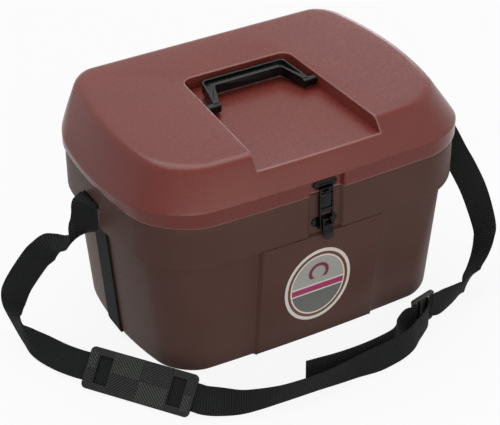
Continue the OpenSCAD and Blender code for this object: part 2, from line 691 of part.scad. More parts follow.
// the stretch that lies on the walls and in the channel under the floor
under_gap = 0.4;
under_z = foot_height - under_gap - strap_thick * half_share;
under_off = under_gap + strap_thick * half_share;
function under_x(z) = half_len - lean(z) + under_off;
under_end_drop = 3.8;
under_rest_drop = 12;
// foot of the wall where the channel cuts it, and the turn of the webbing round it
channel_foot = half_len - mix(base_inset + foot_round, lean(base_round),
    (foot_height - foot_round) / (base_round - foot_round));
under_side = concat([[right_mids[0][0] * len_share, slot_y, slot_low - under_end_drop],
    [half_len - wall_inset + under_off, slot_y, slot_low - under_rest_drop],
    [under_x(panel_high), slot_y, panel_high],
    [under_x(panel_high * half_share), slot_y, panel_high * half_share],
    [under_x(base_round + base_round), slot_y, base_round + base_round],
    [under_x(base_round), slot_y, base_round]],
    [for (t = [30, 60, 90]) [channel_foot + under_off * cos(t), slot_y, foot_height - under_off * sin(t)]],
    [[half_len - foot_line, slot_y, under_z], [half_len * half_share, slot_y, under_z]]);
under_mids = concat([for (q = under_side) [-q[0], q[1], q[2]]], [[0, slot_y, under_z]],
    [for (i = [len(under_side) - 1:-1:0]) under_side[i]]);

module strap_under() color(black_color) band(under_mids, [for (c = under_mids) [0, -1, 0]]);
// shoulder pad, leaning on its long edge with the webbing behind it
pad_mid = [-204, -118];
pad_turn = -53.5;
pad_lean = 50;
pad_low = 0.3;
window_long = 13;
window_wide = 29;
pad_corner = 5.5;
window_at = 44;
pad_stop_shares = [-0.6, -0.5, -0.2, 0.2, 0.5, 0.6];
pad_way = [-sin(pad_turn) * cos(pad_lean), cos(pad_turn) * cos(pad_lean), sin(pad_lean)];
pad_place = [pad_mid[0] * len_share, pad_mid[1] * dep_share,
    pad_low + pad_width * half_share * sin(pad_lean)];
function pad_stop(t) = pad_place + [cos(pad_turn), sin(pad_turn), 0] * pad_length * t;

// flat plate with round corners, lying on its underside about the middle
module rounded_plate(long, wide, thick, r) {
    for (s = [-1, 1]) for (h = [-1, 1])
        translate([s * (long * half_share - r), h * (wide * half_share - r), 0]) cylinder(h = thick, r = r);
    translate([-long * half_share, r - wide * half_share, 0]) cube([long, wide - r - r, thick]);
    translate([r - long * half_share, -wide * half_share, 0]) cube([long - r - r, wide, thick]);
}

module shoulder_pad() color(black_color) translate(pad_place)
    rotate([0, 0, pad_turn]) rotate([pad_lean, 0, 0])
    translate([0, 0, strap_thick * half_share]) difference() {
        rounded_plate(pad_length, pad_width, pad_thick, pad_corner);
        for (s = [-1, 1]) translate([s * window_at - window_long * half_share,
            -window_wide * half_share, -over])
            cube([window_long, window_wide, pad_thick + over + over]);
    }

// slider that closes the loop, standing on its edge
slider_mid = [112, -166];
slider_turn = 14;
slider_long = 34;
slider_high = 38;
slider_thick = 3.6;
slider_low = 0.3;
slider_gap = 9;
slider_open = 31;
slider_gap_at = 7.5;
slider_corner = 3;
slider_lead = 8.5;
slider_touch = 0.1;
slider_end = slider_long * half_share + slider_touch;
// where the webbing passes over the middle bar and leaves: along the slider and behind it
pass_stops = [[8, 0], [3.5, 2.9], [-3.5, 2.9]];
leave_stops = [[-3.7, 2.9], [-4.6, 2.7], [-8, 0], [-14, -3.6], [-20, -4.4]];
slider_place = [slider_mid[0] * len_share, slider_mid[1] * dep_share, slider_low];
function slider_stop(q) = slider_place + [cos(slider_turn), sin(slider_turn), 0] * q[0]
    + [-sin(slider_turn), cos(slider_turn), 0] * q[1] + [0, 0, slider_high * half_share];

module strap_slider() color(black_color) translate(slider_place) rotate([0, 0, slider_turn])
    translate([0, slider_thick * half_share, slider_high * half_share]) rotate([90, 0, 0]) difference() {
        rounded_plate(slider_long, slider_high, slider_thick, slider_corner);
        for (s = [-1, 1]) translate([s * slider_gap_at - slider_gap * half_share,
            -slider_open * half_share, -over])
            cube([slider_gap, slider_open, slider_thick + over + over]);
    }

// the loose webbing: from the left slot behind the pad into the slider, from the
// slider up to the right slot, and the free end that leaves the slider
upright = [0, 0, 1];
module strap_left() color(black_color) band(
    concat([for (c = left_start) placed(c)], [for (t = pad_stop_shares) pad_stop(t)],
        [for (c = left_front) placed(c)], [for (q = pass_stops) slider_stop(q)]),
    concat(left_start_ways, [for (t = pad_stop_shares) pad_way], left_front_ways,
        [for (q = pass_stops) upright]));
module strap_right() color(black_color) band(
    concat([for (c = right_mids) placed(c)],
        [for (n = [2, 1, 0]) slider_stop([slider_end + n * slider_lead, 0])]),
    concat(right_ways, [for (n = [2, 1, 0]) upright]));
module strap_tail() color(black_color) band(
    concat([for (q = leave_stops) slider_stop(q)], [for (c = tail_stops) placed(c)]),
    [for (n = [1:1:len(leave_stops) + len(tail_stops)]) upright]);

tub();
lid();
handle();
latch_base();
latch_base_rivets();
latch_lever();
lever_pin();
bail_pins();
latch_bail();
latch_keeper();
keeper_rivets();
hinge_lower_leaf_left();
hinge_lower_leaf_right();
hinge_upper_leaf_left();
hinge_upper_leaf_right();
hinge_pin_left();
hinge_pin_right();
hinge_tub_rivets();
hinge_lid_rivets();
strap_under();
strap_left();
strap_right();
strap_tail();
shoulder_pad();
strap_slider();
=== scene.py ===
# %% [markdown]
# # A horse grooming box, dressed around its CAD frame
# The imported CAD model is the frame: every solid, joint and size comes from it. This
# lesson adds what a photograph shows and a solid model does not: soft moulded edges,
# grained plastic, ribbed webbing and lacquered steel. Work is in millimetres, and one
# factor turns it into Blender's metres.

from math import atan2, cos, hypot, pi, radians, sin

import bmesh
import bpy
from mathutils import Matrix, Vector


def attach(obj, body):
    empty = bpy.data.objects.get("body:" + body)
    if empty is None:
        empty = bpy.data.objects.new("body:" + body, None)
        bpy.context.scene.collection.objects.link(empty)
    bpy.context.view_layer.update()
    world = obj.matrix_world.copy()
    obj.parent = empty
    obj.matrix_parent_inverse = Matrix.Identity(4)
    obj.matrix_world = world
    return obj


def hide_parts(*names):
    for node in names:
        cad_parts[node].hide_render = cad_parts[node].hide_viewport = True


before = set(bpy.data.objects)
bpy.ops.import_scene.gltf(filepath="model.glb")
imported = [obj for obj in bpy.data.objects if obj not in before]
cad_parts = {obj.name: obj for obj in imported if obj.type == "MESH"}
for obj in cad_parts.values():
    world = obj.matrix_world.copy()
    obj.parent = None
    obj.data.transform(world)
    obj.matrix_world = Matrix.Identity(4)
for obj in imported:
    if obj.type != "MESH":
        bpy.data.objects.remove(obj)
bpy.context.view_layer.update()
MM = 0.001
scene = bpy.context.scene
scene.view_settings.view_transform = "Standard"

# %% [markdown]
# ## Camera
# The box is seen from its left front and from above, through a long lens, so that upright
# edges stay nearly parallel. A camera could be aimed with a Track To constraint. Here the
# three directions are worked out from turn, rise and roll, so nothing stays linked to it.

# %% Camera at the photograph's angle
aim = Vector((-4.94, 5.5, 85.58)) * MM
turn, rise, roll, away = radians(-29.36), radians(34.16), radians(-0.35), 1844.8 * MM
toward = Vector((sin(turn) * cos(rise), -cos(turn) * cos(rise), sin(rise)))
level = Vector((cos(turn), sin(turn), 0))
upward = toward.cross(level)
level, upward = level * cos(roll) + upward * sin(roll), upward * cos(roll) - level * sin(roll)

lens = bpy.data.cameras.new("studio_camera")
lens.lens, lens.sensor_width, lens.sensor_fit = 119.6, 36.0, "HORIZONTAL"
lens.clip_start, lens.clip_end = 0.05, 20
camera = bpy.data.objects.new("studio_camera", lens)
scene.collection.objects.link(camera)
camera.matrix_world = Matrix.Translation(aim + toward * away) @ Matrix(
    (level, upward, toward)).transposed().to_4x4()
scene.camera = camera
print("camera at", [round(c, 3) for c in camera.matrix_world.translation])

# %% [markdown]
# ## Small tools for materials and pieces
# A material is a tree of nodes. One function adds a node, sets its properties and joins its
# inputs: an input is a plain value or another node's output. Another turns the sRGB colours
# of a colour chart into the linear light that the shader works in.

# %% Node, colour and piece helpers
def linear(code, alpha=1.0):
    parts = [int(code[i:i + 2], 16) / 255 for i in (1, 3, 5)]
    return tuple(c / 12.92 if c <= 0.04045 else ((c + 0.055) / 1.055) ** 2.4 for c in parts) + (alpha,)


def add_node(tree, kind, inputs=(), **settings):
    made = tree.nodes.new(kind)
    for name, value in settings.items():
        setattr(made, name, value)
    for name, value in dict(inputs).items():
        if isinstance(value, bpy.types.NodeSocket):
            tree.links.new(value, made.inputs[name])
        else:
            made.inputs[name].default_value = value
    return made


def new_material(name):
    material = bpy.data.materials.new(name)
    material.use_nodes = True
    material.node_tree.nodes.clear()
    return material, material.node_tree


def close_material(tree, shader):
    add_node(tree, "ShaderNodeOutputMaterial", {"Surface": shader.outputs[0]})


def set_piece(name, mesh_maker, material, body, nodes=(), sharp=35):
    """Turns a bmesh in millimetres into a finished object that rides on a body."""
    bmesh.ops.scale(mesh_maker, vec=(MM, MM, MM), verts=mesh_maker.verts)
    mesh = bpy.data.meshes.new(name)
    mesh_maker.to_mesh(mesh)
    mesh_maker.free()
    mesh.shade_smooth()
    mesh.set_sharp_from_angle(angle=radians(sharp))
    mesh.materials.append(material)
    made = bpy.data.objects.new(name, mesh)
    scene.collection.objects.link(made)
    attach(made, body)
    if nodes:
        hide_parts(*nodes)
    print(name, "faces:", len(mesh.polygons))
    return made


# %% [markdown]
# ## Webbing material
# The strap is polypropylene webbing, woven in ribs that cross its length. At a distance the eye
# reads the ribs as fine dark and pale lines and the fibres as a soft sheen. Here the lines are
# painted into the colour from the ribs' relief: painted shade in the grooves and painted highlight
# on the crests. The pattern follows the strap, so it reads the UV map, which holds millimetres
# across and along.

# %% Woven polypropylene webbing
RIB_PITCH = 2.5
webbing, tree = new_material("woven_polypropylene_webbing")
uv = add_node(tree, "ShaderNodeUVMap", uv_map="weave")
parts = add_node(tree, "ShaderNodeSeparateXYZ", {0: uv.outputs[0]})
rib_turn = add_node(tree, "ShaderNodeMath", {0: parts.outputs[1], 1: 2 * pi / RIB_PITCH}, operation="MULTIPLY")
rib_wave = add_node(tree, "ShaderNodeMath", {0: rib_turn.outputs[0]}, operation="SINE")
rib = add_node(tree, "ShaderNodeMapRange", {0: rib_wave.outputs[0], 1: -1.0, 2: 1.0, 3: 0.0, 4: 1.0})
thread_turn = add_node(tree, "ShaderNodeMath", {0: parts.outputs[0], 1: 2 * pi / 1.5}, operation="MULTIPLY")
thread_wave = add_node(tree, "ShaderNodeMath", {0: thread_turn.outputs[0]}, operation="SINE")
weave = add_node(tree, "ShaderNodeMath", {0: thread_wave.outputs[0], 1: 0.12, 2: rib.outputs[0]},
                 operation="MULTIPLY_ADD")
fuzz = add_node(tree, "ShaderNodeTexNoise", {"Vector": uv.outputs[0], "Scale": 0.35, "Detail": 3.0})
shade = add_node(tree, "ShaderNodeMath", {0: fuzz.outputs[0], 1: 0.5, 2: weave.outputs[0]},
                 operation="MULTIPLY_ADD")
# Painted shade in the rib grooves and painted highlight on the crests, with a random mottle of the fibres.
tint = add_node(tree, "ShaderNodeValToRGB", {0: shade.outputs[0]})
tint.color_ramp.elements[0].position, tint.color_ramp.elements[0].color = 0.1, linear("#111212")
tint.color_ramp.elements[1].position, tint.color_ramp.elements[1].color = 1.2, linear("#272a29")
relief = add_node(tree, "ShaderNodeBump", {"Height": weave.outputs[0], "Strength": 0.8, "Distance": 0.0004})
shader = add_node(tree, "ShaderNodeBsdfPrincipled", {
    "Base Color": tint.outputs[0], "Roughness": 0.7, "IOR": 1.49, "Specular IOR Level": 0.08,
    "Normal": relief.outputs[0]})
close_material(tree, shader)

# %% [markdown]
# ## The strap's route
# A strap is one long ribbon. A cloth simulation would let it fall somewhere, but this one lies
# where the photograph shows it, so it is led through stops: a middle point and the way across
# the webbing. A smooth curve joins the stops, as it does in the CAD source.

# %% Stops of the loose webbing, in millimetres
BAND_WIDE, BAND_THICK = 30.0, 1.6
PAD_LONG, PAD_WIDE, PAD_THICK = 124.0, 45.0, 4.0
PAD_TURN, PAD_LEAN = radians(-53.5), radians(45.7)
PAD_MID = Vector((-205.8, -119.3, 0.3 + PAD_WIDE / 2 * sin(PAD_LEAN)))
PAD_WAY = Vector((-sin(PAD_TURN) * cos(PAD_LEAN), cos(PAD_TURN) * cos(PAD_LEAN), sin(PAD_LEAN)))
SLIDER_MID, SLIDER_TURN = Vector((112, -166, 0.3)), radians(14)
UPRIGHT = (0, 0, 1)


def pad_stop(share):
    return tuple(PAD_MID + Vector((cos(PAD_TURN), sin(PAD_TURN), 0)) * PAD_LONG * share)


def slider_stop(along, behind=0):
    return (SLIDER_MID.x + cos(SLIDER_TURN) * along - sin(SLIDER_TURN) * behind,
            SLIDER_MID.y + sin(SLIDER_TURN) * along + cos(SLIDER_TURN) * behind, 19.3)


left_stops = [
    ((-193, -4, 166.2), (0, 1, 0)), ((-196.5, -4, 171.5), (0, 1, 0)), ((-201, -5, 175), (-.1, 1, 0)),
    ((-206, -7, 174), (-.4, .9, 0)), ((-208, -8, 168), (-.6, .8, .1)), ((-208.5, -8, 157), (-.65, .75, 0)),
    ((-210, -7, 146), (-.8, .55, -.15)), ((-215.5, -3, 132), (-.91, -.4, .06)),
    ((-224, 4, 123), (-.4, -.91, .13)), ((-233, 9, 121.5), (-.04, -.99, -.06)),
    ((-242, 12.5, 118.5), (.5, -.8, -.3)), ((-249, 16, 112), (.63, -.68, -.38)),
    ((-255, 20, 104), (.64, -.66, -.39)), ((-267, 24, 86), (.7, -.6, -.38)), ((-274, 34, 64), (.75, -.6, -.25)),
    ((-278, 39, 46), (.6, -.78, -.05)), ((-280, 36, 33), (.3, -.95, .15)), ((-280, 30, 24), (.05, -.9, .45)),
    ((-279, 16, 16), (0, -.6, .8)), ((-275.2, -2.2, 15), (.35, -.3, .9)), ((-268.3, -21.2, 15), (.55, .1, .8)),
    ((-259.5, -41.2, 15), (.6, .3, .75))]
left_stops += [(pad_stop(s), tuple(PAD_WAY)) for s in (-.6, -.5, -.2, .2, .5, .6)]
left_stops += [
    ((-146, -190, 16), (.2, .3, .9)), ((-131, -199, 16), (0, .1, 1)), ((-114, -204, 16), (-.1, -.05, 1)),
    ((-92, -208, 16), (-.15, -.2, .95)), ((-69, -210, 16), (-.2, -.25, .95)),
    ((-45, -211, 16), (-.2, -.25, .95)), ((-21, -211, 16), (-.2, -.15, .95)), ((3, -210, 16), (-.1, 0, 1)),
    ((27, -210, 16), (-.05, .2, 1)), ((46, -208, 16), (-.1, .2, 1)), ((62, -205, 16), (-.15, .15, 1)),
    ((78, -199, 16), (-.1, .1, 1)), ((92, -190, 16), (-.1, 0, 1)), ((104, -183, 17), (0, 0, 1)),
    ((114, -175.5, 18.5), UPRIGHT)]
over_bar = [(7, 0), (3.5, 2.9), (-3.5, 2.9), (-8, 0), (-13, -3.3), (-19, -3.2), (-25, -.5)]
left_stops += [(slider_stop(*p), UPRIGHT) for p in over_bar]
free_end = [(79, -175, 17.5), (70.5, -180.5, 17), (65, -187, 16.5), (56, -191.5, 16), (38, -194.5, 16),
            (18, -196, 16), (0, -196, 16),
            (-18, -195, 16), (-34, -193, 16), (-50, -191, 16)]
left_stops += [(p, UPRIGHT) for p in free_end]
right_stops = [
    ((193, -4, 166.2), (0, -1, 0)), ((196.5, -4, 171.5), (0, -1, 0)), ((201, -5, 175), (.05, -1, 0)),
    ((207, -10, 176.5), (.3, -.95, .1)), ((214, -23, 169), (.5, -.7, .5)), ((218.5, -42, 149), (.55, -.35, .75)),
    ((222.5, -60, 128), (.62, -.1, .78)), ((226.5, -74, 112.5), (.68, -.15, .72)),
    ((229.5, -93, 91), (.68, -.35, .65)), ((228, -116, 62), (.5, -.65, .55)),
    ((222, -125, 50), (.35, -.75, .55)), ((213, -132, 38), (.2, -.8, .55)), ((202, -138, 28), (0, -.85, .55)),
    ((193.9, -143.1, 23.5), (-0.2, -0.86, 0.47)),
    ((179.7, -153, 20), (-0.48, -0.47, 0.74)), ((170.5, -154.5, 17.5), (-0.49, -0.39, 0.78)),
    ((157.5, -157.8, 16.5), (-0.5, -0.25, 0.83)), ((138.3, -162.9, 17.5), (-0.5, -0.06, 0.86))]
over_end = [(17.5, -3), (14.5, -2.8), (10.8, -1.9)]
right_stops += [(slider_stop(*p), UPRIGHT) for p in over_end]

# %% [markdown]
# ## Webbing as a swept ribbon
# A curve with a bevel would sweep a ribbon too, but it twists by its own rule. Here a small
# cross-section with rounded edges is extruded from stop to stop, and each new section is set
# square to the route with its own way across, which is how a strap shows its twist.

# %% Sweep a ribbon along stops
SECTION = [(-14.6, -.8), (-7, -.8), (7, -.8), (14.6, -.8), (15, -.4), (15, .4),
           (14.6, .8), (7, .8), (-7, .8), (-14.6, .8), (-15, .4), (-15, -.4)]


def smooth_run(values, steps):
    """Catmull-Rom points through the values, a few for each span."""
    v = [Vector(x) for x in values]
    run = []
    for i in range(len(v) - 1):
        a, b, c, d = v[max(i - 1, 0)], v[i], v[i + 1], v[min(i + 2, len(v) - 1)]
        for s in range(steps):
            t = s / steps
            run.append(b + (c - a) * (t / 2) + (a * 2 - b * 5 + c * 4 - d) * (t * t / 2)
                       + (b * 3 - a - c * 3 + d) * (t ** 3 / 2))
    return run + [v[-1]]


def sweep_band(stops, steps=6):
    mids = smooth_run([s[0] for s in stops], steps)
    ways = smooth_run([s[1] for s in stops], steps)
    bm = bmesh.new()
    weave_layer = bm.loops.layers.uv.new("weave")
    ring, place, gone = None, {}, 0.0
    for i, mid in enumerate(mids):
        along = (mids[min(i + 1, len(mids) - 1)] - mids[max(i - 1, 0)]).normalized()
        side = (ways[i] - along * ways[i].dot(along)).normalized()
        face = along.cross(side)
        gone += (mid - mids[i - 1]).length if i else 0
        if ring is None:
            ring = [bm.verts.new((0, 0, 0)) for _ in SECTION]
            bm.faces.new(ring)
            rim = [bm.edges.get((ring[j - 1], ring[j])) for j in range(len(ring))]
        else:
            made = bmesh.ops.extrude_edge_only(bm, edges=rim)["geom"]
            fresh = {g for g in made if isinstance(g, bmesh.types.BMVert)}
            ring = [next(e.other_vert(v) for e in v.link_edges if e.other_vert(v) in fresh) for v in ring]
            rim = [bm.edges.get((ring[j - 1], ring[j])) for j in range(len(ring))]
        for v, (across, out) in zip(ring, SECTION):
            v.co = mid + side * across + face * out
            place[v] = (across, gone)
    bm.faces.new(ring)
    for f in bm.faces:
        for corner in f.loops:
            corner[weave_layer].uv = place[corner.vert]
    bmesh.ops.recalc_face_normals(bm, faces=bm.faces)
    return bm, [m * MM for m in mids], gone * MM


def lay_cord(name, stops, nodes):
    bm, path, length = sweep_band(stops)
    made = set_piece(name, bm, webbing, "box", nodes)
    print(name, "length:", round(length, 3), "m")
    return made


# %% [markdown]
# ## The strap's stretch under the box
# Between the two slots the webbing runs down the end walls and through a channel under the
# floor. It does not hang free, and it is swept like the rest.

# %% Strap under the box
LEAN_LOW, LEAN_HIGH, PANEL_HIGH = 21.5, 10.5, 144.8


def lean(z):
    return LEAN_LOW + (LEAN_HIGH - LEAN_LOW) * z / PANEL_HIGH


def beside(z):
    return 200 - lean(z) + 1.2


FOOT_X, FOOT_Z, OFF_WALL = 177.9, 4.0, 1.2
under_side = [(193, -4, 165.2), (190.7, -4, 157)] + [(beside(z), -4, z) for z in (PANEL_HIGH, 72.4, 12, 6)]
under_side += [(FOOT_X + OFF_WALL * cos(t), -4, FOOT_Z - OFF_WALL * sin(t)) for t in (pi / 6, pi / 3, pi / 2)]
under_side += [(172.5, -4, 2.8), (100, -4, 2.8)]
under_mids = [(-x, y, z) for x, y, z in under_side] + [(0, -4, 2.8)] + under_side[::-1]
bm, _, under_long = sweep_band([(p, (0, -1, 0)) for p in under_mids])
set_piece("webbing_under_box", bm, webbing, "box", ["strap_under"])

# %% [markdown]
# ## Shoulder pad material and body
# The pad is soft moulded PVC that slides on the webbing. Its body is a plate with two windows,
# made from a grid whose two window cells are left out. The grip ribs are real strips: a field
# is cut by slanted planes, every other strip is kept and given its height.

# %% Moulded black plastics
def moulded_black(name, dark, pale, rough, grain_mm, depth, gloss=0.5):
    material, tree = new_material(name)
    place = add_node(tree, "ShaderNodeTexCoord")
    grain = add_node(tree, "ShaderNodeTexNoise", {"Vector": place.outputs["Object"],
                                                  "Scale": 1000 / grain_mm, "Detail": 4.0})
    cloud = add_node(tree, "ShaderNodeTexNoise", {"Vector": place.outputs["Object"],
                                                  "Scale": 1000 / 25, "Detail": 2.0})
    fresh = add_node(tree, "ShaderNodeMix", {"Factor": cloud.outputs[0], "A": linear(dark), "B": linear(pale)},
                     data_type="RGBA")
    # A vertex attribute mixes in a paler grey as painted highlight; only the pad's rib tops carry it.
    painted_highlight = add_node(tree, "ShaderNodeAttribute", attribute_name="painted_highlight")
    tint = add_node(tree, "ShaderNodeMix", {"Factor": painted_highlight.outputs["Fac"], "A": fresh.outputs["Result"],
                                            "B": linear("#3f4240")}, data_type="RGBA")
    dull = add_node(tree, "ShaderNodeMapRange", {0: grain.outputs[0], 1: .3, 2: .7, 3: rough - .06, 4: rough + .06})
    relief = add_node(tree, "ShaderNodeBump", {"Height": grain.outputs[0], "Strength": 0.35, "Distance": depth})
    close_material(tree, add_node(tree, "ShaderNodeBsdfPrincipled", {
        "Base Color": tint.outputs["Result"], "Roughness": dull.outputs[0], "IOR": 1.5,
        "Specular IOR Level": gloss, "Normal": relief.outputs[0]}))
    return material


pad_plastic = moulded_black("moulded_soft_pvc", "#131514", "#1a1c1b", 0.5, 1.2, 0.0002, 0.26)
handle_plastic = moulded_black("moulded_polyamide", "#050606", "#080a0a", 0.28, 1.0, 0.0002, 0.26)
slider_plastic = moulded_black("moulded_acetal", "#2c302e", "#383d3a", 0.4, 1.0, 0.0001, 0.3)

# %% Plates with windows
def windowed_plate(columns, rows, holes, thick):
    """A plate in its own plane: columns and rows are the grid's lines, holes its open cells."""
    bm = bmesh.new()
    verts = bmesh.ops.create_grid(bm, x_segments=len(columns) - 1, y_segments=len(rows) - 1, size=1)["verts"]
    nx, ny = len(columns) - 1, len(rows) - 1
    for v in verts:
        v.co = (columns[round((v.co.x + 1) / 2 * nx)], rows[round((v.co.y + 1) / 2 * ny)], 0)
    bm.faces.ensure_lookup_table()
    gone = [f for f in bm.faces if any(
        columns[i] < f.calc_center_median().x < columns[i + 1] and rows[j] < f.calc_center_median().y < rows[j + 1]
        for i, j in holes)]
    bmesh.ops.delete(bm, geom=gone, context="FACES")
    bmesh.ops.solidify(bm, geom=bm.faces[:], thickness=-thick)
    bmesh.ops.recalc_face_normals(bm, faces=bm.faces)
    return bm


def round_edges(bm, edges, offset, segments):
    bmesh.ops.bevel(bm, geom=list(edges), offset=offset, offset_type="OFFSET", affect="EDGES", segments=segments,
                    profile=0.5, material=-1, clamp_overlap=True)


def sharp_edges(bm, angle=40):
    return [e for e in bm.edges if len(e.link_faces) == 2 and e.calc_face_angle() > radians(angle)]


# %% Shoulder pad with grip ribs
pad_columns = [-62, -50, -34.5, 34.5, 50, 62]
pad_rows = [-22.5, -14.8, 14.8, 22.5]
RIB_STEP, RIB_UP = 2.5, 0.8
bm = windowed_plate(pad_columns, pad_rows, [(1, 1), (3, 1)], PAD_THICK - RIB_UP)
upright_edges = [e for e in bm.edges if abs((e.verts[0].co - e.verts[1].co).normalized().z) > .9]
round_edges(bm, [e for e in upright_edges if abs(e.verts[0].co.x) > 61 and abs(e.verts[0].co.y) > 22], 5.5, 6)
round_edges(bm, sharp_edges(bm, 50), 0.7, 3)
top = max(v.co.z for v in bm.verts)

fields = [(x0, x1, y0, y1, slant) for x0, x1, flip in ((-33.2, -.2, 1), (.2, 33.2, -1)) for y0, y1, slant in (
    (.2, 21, -flip), (-21, -.2, flip))]
fields += [(x0, x1, y0, y1, slant) for x0, x1, flip in ((-60, -51.4, 1), (51.4, 60, -1)) for y0, y1, slant in (
    (.2, 17.5, -flip), (-17.5, -.2, flip))]
for x0, x1, y0, y1, slant in fields:
    field = bmesh.new()
    corners = [field.verts.new((x, y, top - .1)) for x, y in ((x0, y0), (x1, y0), (x1, y1), (x0, y1))]
    field.faces.new(corners)
    across = Vector((1, -slant, 0)).normalized()
    reach = hypot(x1 - x0, y1 - y0)
    middle = Vector(((x0 + x1) / 2, (y0 + y1) / 2, 0))
    steps = int(reach / RIB_STEP) + 1
    for i in range(-steps, steps + 1):
        for half in (-.28, .28):
            bmesh.ops.bisect_plane(field, geom=field.verts[:] + field.edges[:] + field.faces[:], dist=1e-4,
                                   plane_co=middle + across * (i + half) * RIB_STEP, plane_no=across)
    spare = [f for f in field.faces
             if abs(((f.calc_center_median() - middle).dot(across) / RIB_STEP + .5) % 1 - .5) > .28]
    bmesh.ops.delete(field, geom=spare, context="FACES")
    bmesh.ops.solidify(field, geom=field.faces[:], thickness=-RIB_UP - .1)
    bmesh.ops.recalc_face_normals(field, faces=field.faces)
    # The rib tops are painted paler as painted highlight: fully on ribs that slant one way, a third as much on the
    # others.
    rib_highlight = field.verts.layers.float.new("painted_highlight")
    for v in field.verts:
        v[rib_highlight] = (1 if slant < 0 else .3) if v.co.z > top + .1 else 0
    strip = bpy.data.meshes.new("strip")
    field.to_mesh(strip)
    field.free()
    bm.from_mesh(strip)
    bpy.data.meshes.remove(strip)
low = min(v.co.z for v in bm.verts)
bmesh.ops.translate(bm, vec=(0, 0, BAND_THICK / 2 - low), verts=bm.verts)
bmesh.ops.transform(bm, verts=bm.verts, matrix=Matrix.Translation(PAD_MID) @ Matrix.Rotation(PAD_TURN, 4, "Z")
                    @ Matrix.Rotation(PAD_LEAN, 4, "X"))
shoulder_pad = set_piece("shoulder_pad_pvc", bm, pad_plastic, "box", ["shoulder_pad"])

# %% [markdown]
# ## Slider and the loose cords
# The slider is a small moulded frame with a middle bar that the webbing passes over. It comes
# from the same plate tool with rounder edges. Then the two loose lengths of webbing are laid.

# %% Slider, then the cords
bm = windowed_plate([-17, -12, -3, 3, 12, 17], [0, 3.5, 34.5, 38], [(1, 1), (3, 1)], 3.6)
upright_edges = [e for e in bm.edges if abs((e.verts[0].co - e.verts[1].co).normalized().z) > .9]
round_edges(bm, [e for e in upright_edges if abs(e.verts[0].co.x) > 16 and e.verts[0].co.y in (0, 38)], 3.4, 5)
round_edges(bm, sharp_edges(bm, 50), 1.3, 4)
bmesh.ops.translate(bm, vec=(0, 0, -1.8 - min(v.co.z for v in bm.verts)), verts=bm.verts)
rails = [v for v in bm.verts if not 3.3 < v.co.y < 34.7]
bmesh.ops.scale(bm, vec=(1, 1, 1.5), verts=rails)
bmesh.ops.transform(bm, verts=bm.verts, matrix=Matrix.Translation(SLIDER_MID) @ Matrix.Rotation(SLIDER_TURN, 4, "Z")
                    @ Matrix.Rotation(pi / 2, 4, "X"))
slider = set_piece("webbing_slider", bm, slider_plastic, "box", ["strap_slider"])

lay_cord("webbing_left", left_stops, ["strap_left", "strap_tail"])
lay_cord("webbing_right", right_stops, ["strap_right"])

# %% [markdown]
# ## Box material
# Tub and lid are injection-moulded polypropylene in a brown burgundy. The tool's eroded surface
# leaves a fine leathery grain that breaks every highlight into a soft sheen, and the colour
# drifts a little where the melt flowed.

# %% Grained polypropylene
def grained_plastic(name, deep, pale, gloss, dullness):
    material, tree = new_material(name)
    place = add_node(tree, "ShaderNodeTexCoord")
    grain = add_node(tree, "ShaderNodeTexNoise", {"Vector": place.outputs["Object"], "Scale": 1000 / 2.4,
                                                  "Detail": 5.0, "Roughness": 0.6})
    flow = add_node(tree, "ShaderNodeTexNoise", {"Vector": place.outputs["Object"], "Scale": 1000 / 70,
                                                 "Detail": 3.0})
    fresh = add_node(tree, "ShaderNodeMix", {"Factor": flow.outputs[0], "A": linear(deep), "B": linear(pale)},
                     data_type="RGBA")
    # A vertex attribute mixes in a pale pink as painted highlight along edges, and lowers the roughness there.
    painted_highlight = add_node(tree, "ShaderNodeAttribute", attribute_name="painted_highlight")
    highlight_share = add_node(tree, "ShaderNodeMath", {0: painted_highlight.outputs["Fac"], 1: 0.32}, operation="MULTIPLY")
    tint = add_node(tree, "ShaderNodeMix", {"Factor": highlight_share.outputs[0], "A": fresh.outputs["Result"],
                                            "B": linear("#c49a92")}, data_type="RGBA")
    rough = add_node(tree, "ShaderNodeMapRange", {
        0: grain.outputs[0], 1: .3, 2: .7, 3: dullness - .08, 4: dullness + .08})
    dull = add_node(tree, "ShaderNodeMath", {0: painted_highlight.outputs["Fac"], 1: -0.18, 2: rough.outputs[0]},
                    operation="MULTIPLY_ADD")
    relief = add_node(tree, "ShaderNodeBump", {"Height": grain.outputs[0], "Strength": 0.3, "Distance": 0.0004})
    close_material(tree, add_node(tree, "ShaderNodeBsdfPrincipled", {
        "Base Color": tint.outputs["Result"], "Roughness": dull.outputs[0], "IOR": 1.49,
        "Specular IOR Level": gloss, "Normal": relief.outputs[0]}))
    return material


lid_plastic = grained_plastic("grained_polypropylene_burgundy", "#6a2a24", "#76332b", 0.34, 0.28)
tub_plastic = grained_plastic("grained_polypropylene_brown", "#573e39", "#614741", 0.1, 0.46)

# %% [markdown]
# ## One outline for tub and lid
# Seen from above the box is a rounded rectangle whose ends and front bulge. Every height has the
# same outline, drawn in by an inset; a panel may stand out in front and back, and a pocket for
# the latch may press the front in. Both steps are soft, as they are on a moulding.

# %% Outline ring
HALF_LONG, HALF_DEEP = 200.0, 145.5
RIM_FRONT, RIM_BACK, TOP_FRONT, TOP_BACK, SLOPE_RUN = 58.5, 90.0, 46.0, 22.0, 24.5
END_BOW, FRONT_BOW = 20.0, 5.0
PANEL_HALF, POCKET_HALF, POCKET_Y = 71.0, 18.5, -139.6


def soft_step(t):
    t = min(max(t, 0), 1)
    return t * t * (3 - 2 * t)


